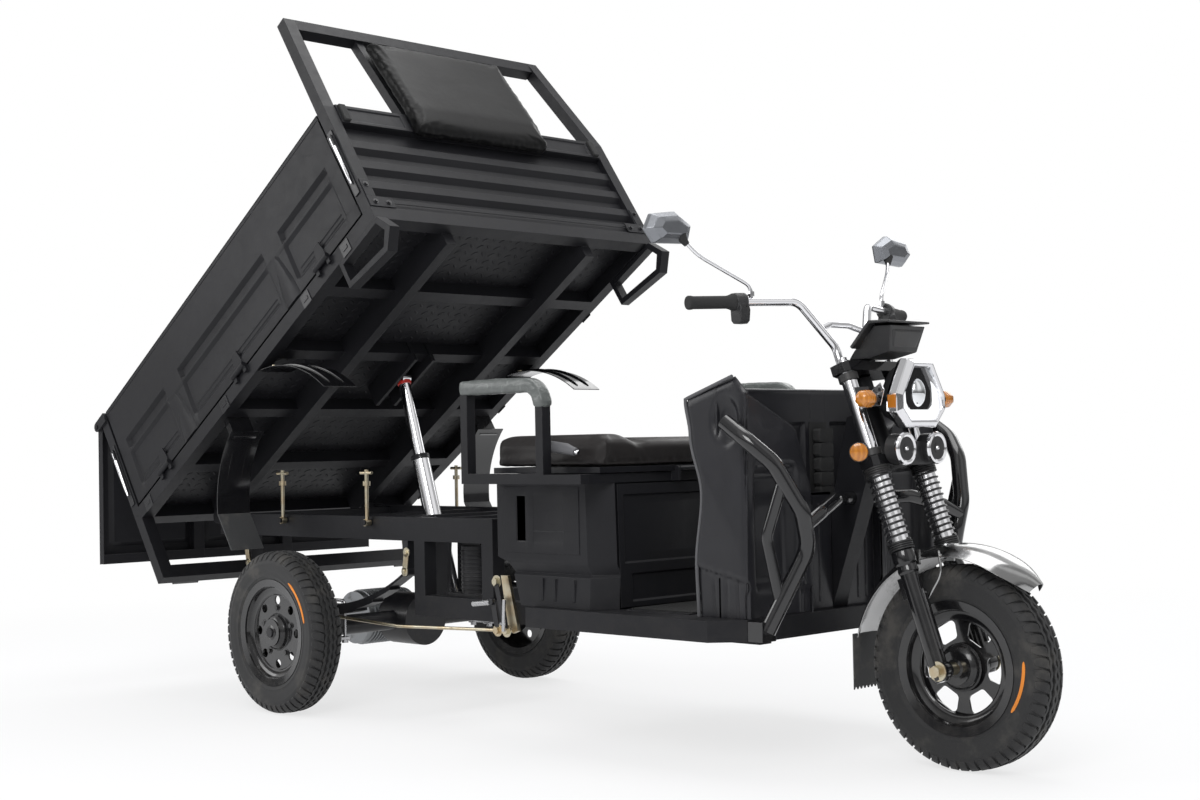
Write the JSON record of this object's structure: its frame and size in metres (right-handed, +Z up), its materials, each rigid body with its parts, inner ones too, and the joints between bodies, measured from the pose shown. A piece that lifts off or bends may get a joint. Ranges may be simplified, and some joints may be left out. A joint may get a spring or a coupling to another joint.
{
  "type": "motorized trike",
  "caption": "Three-wheeled cargo motorcycle with a tipping load bed, shown raised, a driver's bench, leg shield and steered front fork.",
  "frame": {"origin": "on the ground under the middle of the whole machine's box, bed raised", "axes": "+X forward to the front wheel, +Y to the rider's left, +Z up"},
  "size_m": [3.4756, 1.218, 2.1865],
  "materials": {
    "frame_paint": "gloss black paint",
    "body_paint": "satin charcoal paint",
    "shield_paint": "semi-gloss charcoal paint",
    "rim_paint": "gloss black paint",
    "motor_case": "cast, dull",
    "pump_case": "black paint",
    "battery_case": "matte",
    "grey_wrap": "grey foam wrap",
    "seat_cover": "black leatherette",
    "zinc_steel": "yellow zinc plate",
    "red_lens": "red lens",
    "amber_lens": "amber lens",
    "flap_rubber": "black rubber",
    "grip_rubber": "black rubber",
    "tyre_rubber": "black rubber",
    "chrome_plate": "polished",
    "fork_metal": "gloss black and bright steel",
    "black_plastic": "gloss black"
  },
  "bodies": {
    "chassis": {"main_frame": "frame_paint", "rear_axle": "frame_paint", "drive_motor": "motor_case", "leaf_springs": "frame_paint", "hydraulic_unit": "pump_case", "seat_box": "body_paint", "battery_pack": "battery_case", "seat_frame": "frame_paint", "armrest_pads": "grey_wrap", "floor_pan": "body_paint", "leg_shield": "shield_paint", "crash_bars": "frame_paint", "brake_rod": "zinc_steel"},
    "seat": {"seat_lid": "frame_paint", "seat_pad": "seat_cover"},
    "bed": {"bed_frame": "body_paint", "bed_floor": "body_paint", "headboard": "body_paint", "headboard_pad": "seat_cover", "corner_guards": "body_paint", "tail_lamps": "red_lens", "rear_mudguards": "frame_paint", "rear_flaps": "flap_rubber"},
    "side_board_right": {"side_board_right": "body_paint"},
    "side_board_left": {"side_board_left": "body_paint"},
    "tailgate": {"tailgate": "body_paint"},
    "hold_downs_rear": {"hold_downs_rear": "zinc_steel"},
    "hold_downs_front": {"hold_downs_front": "zinc_steel"},
    "ram_barrel": {"ram_barrel": "frame_paint"},
    "ram_sleeve": {"ram_sleeve": "chrome_plate"},
    "ram_rod": {"ram_rod": "chrome_plate"},
    "steering": {"fork_legs": "fork_metal", "fork_springs": "fork_metal", "fork_yokes": "fork_metal", "front_spindle": "zinc_steel", "handlebar": "chrome_plate", "hand_controls": "grip_rubber", "mirrors": "black_plastic", "headlamp": "black_plastic", "indicators": "amber_lens", "twin_horns": "chrome_plate", "instrument_cowl": "black_plastic", "front_mudguard": "chrome_plate", "front_flap": "flap_rubber"},
    "front_wheel": {"front_wheel_tyre": "tyre_rubber", "front_wheel_rim": "rim_paint"},
    "rear_wheel_right": {"rear_wheel_right_tyre": "tyre_rubber", "rear_wheel_right_rim": "rim_paint"},
    "rear_wheel_left": {"rear_wheel_left_tyre": "tyre_rubber", "rear_wheel_left_rim": "rim_paint"}
  },
  "joints": [
    {"name": "rear_wheel_right_spin", "type": "hinge", "parent": "chassis", "child": "rear_wheel_right", "pos_m": [-0.7074, -0.517, 0.255], "axis": [0, 1, 0], "continuous": true},
    {"name": "rear_wheel_left_spin", "type": "hinge", "parent": "chassis", "child": "rear_wheel_left", "pos_m": [-0.7074, 0.517, 0.255], "axis": [0, 1, 0], "continuous": true},
    {"name": "steering_turn", "type": "hinge", "parent": "chassis", "child": "steering", "pos_m": [1.44204, 0, 0.24072], "axis": [-0.3322, 0, 0.9432], "range_deg": [-35, 35]},
    {"name": "front_wheel_spin", "type": "hinge", "parent": "steering", "child": "front_wheel", "pos_m": [1.4826, 0, 0.255], "axis": [0, 1, 0], "continuous": true},
    {"name": "bed_tip", "type": "hinge", "parent": "chassis", "child": "bed", "pos_m": [-1.3274, 0, 0.6], "axis": [0, 1, 0], "range_deg": [0, 33.9]},
    {"name": "side_board_right_drop", "type": "hinge", "parent": "bed", "child": "side_board_right", "pos_m": [-1.49473, -0.6, 0.6249], "axis": [0.83, 0, 0.5577], "range_deg": [0, 110]},
    {"name": "side_board_left_drop", "type": "hinge", "parent": "bed", "child": "side_board_left", "pos_m": [-1.49473, 0.6, 0.6249], "axis": [-0.83, 0, -0.5577], "range_deg": [0, 110]},
    {"name": "tailgate_swing", "type": "hinge", "parent": "bed", "child": "tailgate", "pos_m": [-1.72103, 0, 0.92223], "axis": [0, 1, 0], "range_deg": [-33.9, 56]},
    {"name": "seat_lift", "type": "hinge", "parent": "chassis", "child": "seat", "pos_m": [0.6786, 0, 0.755], "axis": [0, 1, 0], "range_deg": [0, 55]},
    {"name": "hold_downs_rear_fold", "type": "hinge", "parent": "chassis", "child": "hold_downs_rear", "pos_m": [-0.9074, 0, 0.596], "axis": [0, 1, 0], "range_deg": [0, 91]},
    {"name": "hold_downs_front_fold", "type": "hinge", "parent": "chassis", "child": "hold_downs_front", "pos_m": [-0.4524, 0, 0.596], "axis": [0, 1, 0], "range_deg": [0, 91]},
    {"name": "ram_tilt", "type": "hinge", "parent": "chassis", "child": "ram_barrel", "pos_m": [-0.4927, 0, 0.301], "axis": [0, 1, 0], "range_deg": [0, 4.5]},
    {"name": "ram_sleeve_slide", "type": "slide", "parent": "ram_barrel", "child": "ram_sleeve", "axis": [-0.2997, 0, 0.954], "range_m": [-0.194, 0]},
    {"name": "ram_rod_slide", "type": "slide", "parent": "ram_sleeve", "child": "ram_rod", "axis": [-0.2997, 0, 0.954], "range_m": [-0.246, 0]}
  ],
  "couplings": [
    {"joint": "ram_tilt", "follows": "bed_tip", "ratio": 0.12825},
    {"joint": "ram_sleeve_slide", "follows": "bed_tip", "m_per_rad": -0.3262},
    {"joint": "ram_rod_slide", "follows": "bed_tip", "m_per_rad": -0.41426},
    {"joint": "hold_downs_rear_fold", "follows": "bed_tip", "ratio": 2.6549},
    {"joint": "hold_downs_front_fold", "follows": "bed_tip", "ratio": 2.6549}
  ]
}
